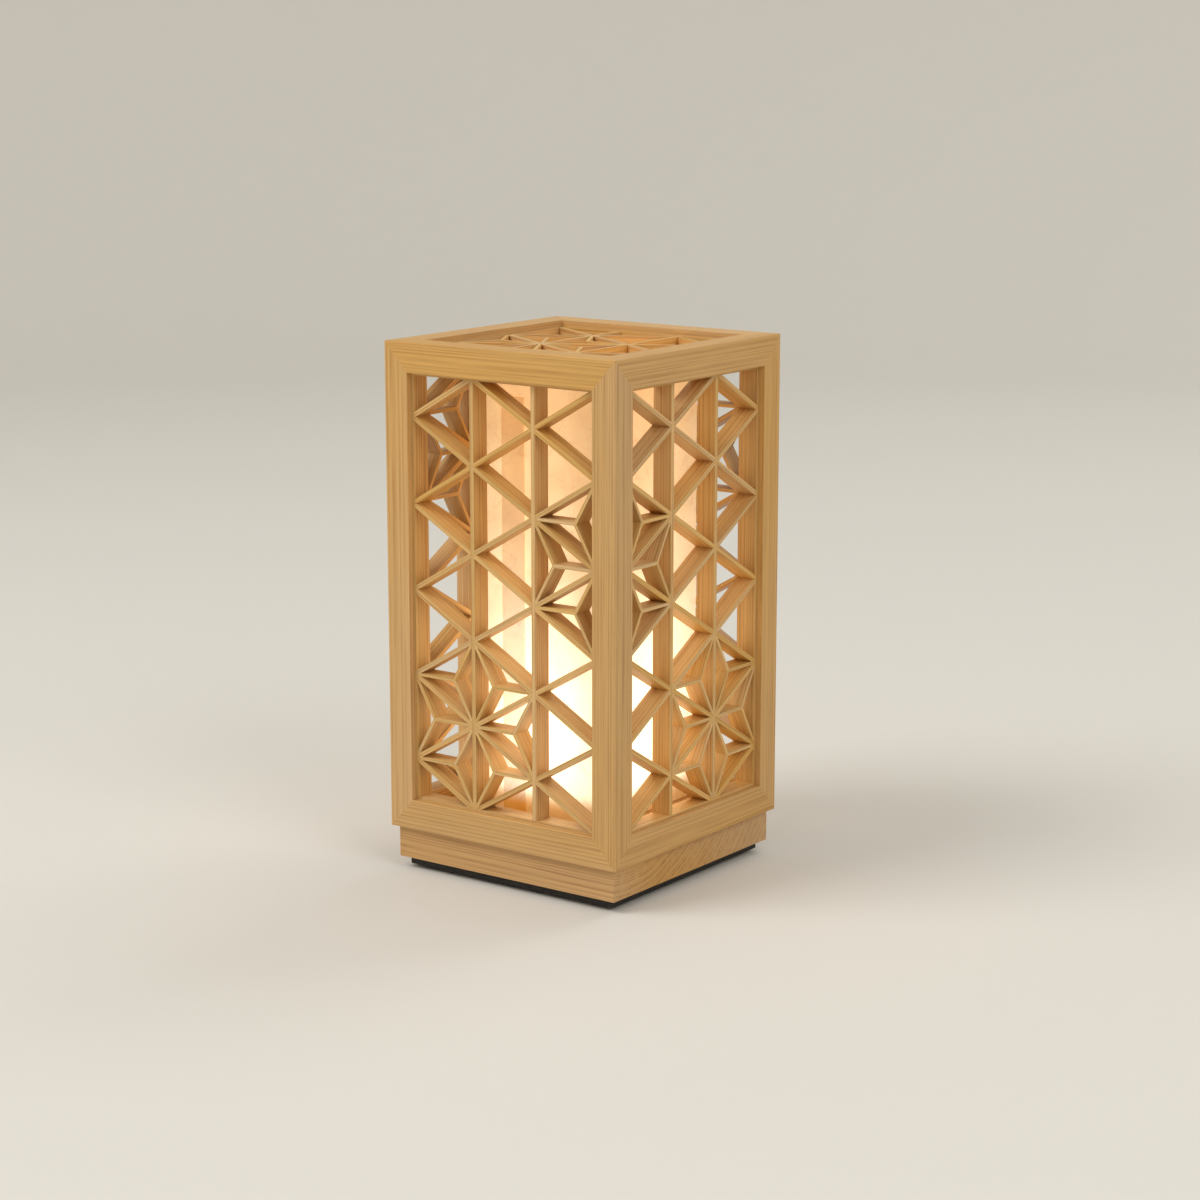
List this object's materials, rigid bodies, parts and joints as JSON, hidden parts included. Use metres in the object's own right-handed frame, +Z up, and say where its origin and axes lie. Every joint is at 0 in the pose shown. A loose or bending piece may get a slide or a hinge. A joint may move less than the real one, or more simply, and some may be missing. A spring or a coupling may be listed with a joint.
{
  "type": "kumiko table lamp",
  "caption": "Square wooden lattice lantern with hemp leaf flowers, lifting off a plinth that carries a paper tube and a screw-in bulb.",
  "frame": {"origin": "on the table under the middle of the lamp", "axes": "+Z up; -Y faces out of the front panel, +X out of the right panel"},
  "size_m": [0.12, 0.12, 0.2298],
  "materials": {
    "frame_wood": "planed, unvarnished",
    "lattice_wood": "planed, unvarnished",
    "leaf_wood": "planed, unvarnished",
    "plinth_wood": "planed, unvarnished",
    "plate_black": "black stained board",
    "foot_rubber": "moulded",
    "screw_steel": "zinc plated",
    "bush_nylon": "moulded",
    "block_nylon": "moulded",
    "lead_silicone": "extruded",
    "holder_phenolic": "moulded",
    "contact_brass": "pressed",
    "paper": "laminated fibre paper",
    "cap_insulator": "moulded",
    "cap_nickel": "nickel plated",
    "bulb_housing": "moulded",
    "board_aluminium": "white coated",
    "bulb_opal": "opal"
  },
  "bodies": {
    "base": {"feet": "foot_rubber", "bottom_plate": "plate_black", "plate_screws": "screw_steel", "plinth": "plinth_wood", "deck": "plinth_wood", "deck_screws": "screw_steel", "cord_bush": "bush_nylon", "terminal_block": "block_nylon", "leads": "lead_silicone", "holder_body": "holder_phenolic", "holder_shell": "contact_brass", "holder_contact": "contact_brass", "holder_screws": "screw_steel", "diffuser_tube": "paper", "diffuser_seam": "paper", "diffuser_seat": "plinth_wood"},
    "lantern": {"post_front_left": "frame_wood", "post_front_right": "frame_wood", "post_back_right": "frame_wood", "post_back_left": "frame_wood", "bottom_rail_front": "frame_wood", "bottom_rail_right": "frame_wood", "bottom_rail_back": "frame_wood", "bottom_rail_left": "frame_wood", "top_rail_front": "frame_wood", "top_rail_right": "frame_wood", "top_rail_back": "frame_wood", "top_rail_left": "frame_wood", "front_panel_border": "lattice_wood", "front_panel_uprights": "lattice_wood", "front_panel_rising": "lattice_wood", "front_panel_falling": "lattice_wood", "front_panel_leaves": "leaf_wood", "right_panel_border": "lattice_wood", "right_panel_uprights": "lattice_wood", "right_panel_rising": "lattice_wood", "right_panel_falling": "lattice_wood", "right_panel_leaves": "leaf_wood", "back_panel_border": "lattice_wood", "back_panel_uprights": "lattice_wood", "back_panel_rising": "lattice_wood", "back_panel_falling": "lattice_wood", "back_panel_leaves": "leaf_wood", "left_panel_border": "lattice_wood", "left_panel_uprights": "lattice_wood", "left_panel_rising": "lattice_wood", "left_panel_falling": "lattice_wood", "left_panel_leaves": "leaf_wood", "top_panel_border": "lattice_wood", "top_panel_uprights": "lattice_wood", "top_panel_rising": "lattice_wood", "top_panel_falling": "lattice_wood", "top_panel_leaves": "leaf_wood"},
    "bulb_thread": {"bulb_contact": "contact_brass"},
    "bulb": {"bulb_insulator": "cap_insulator", "bulb_cap": "cap_nickel", "bulb_neck": "bulb_housing", "bulb_board": "board_aluminium", "bulb_globe": "bulb_opal"}
  },
  "joints": [
    {"name": "lantern_lift", "type": "slide", "parent": "base", "child": "lantern", "axis": [0, 0, 1], "range_m": [0, 0.2]},
    {"name": "bulb_rise", "type": "slide", "parent": "base", "child": "bulb_thread", "axis": [0, 0, 1], "range_m": [0, 0.0114]},
    {"name": "bulb_turn", "type": "hinge", "parent": "bulb_thread", "child": "bulb", "pos_m": [0, 0, 0.03], "axis": [0, 0, 1], "range_deg": [0, 1440]}
  ],
  "couplings": [
    {"joint": "bulb_rise", "follows": "bulb_turn", "m_per_rad": 0.00044914}
  ]
}
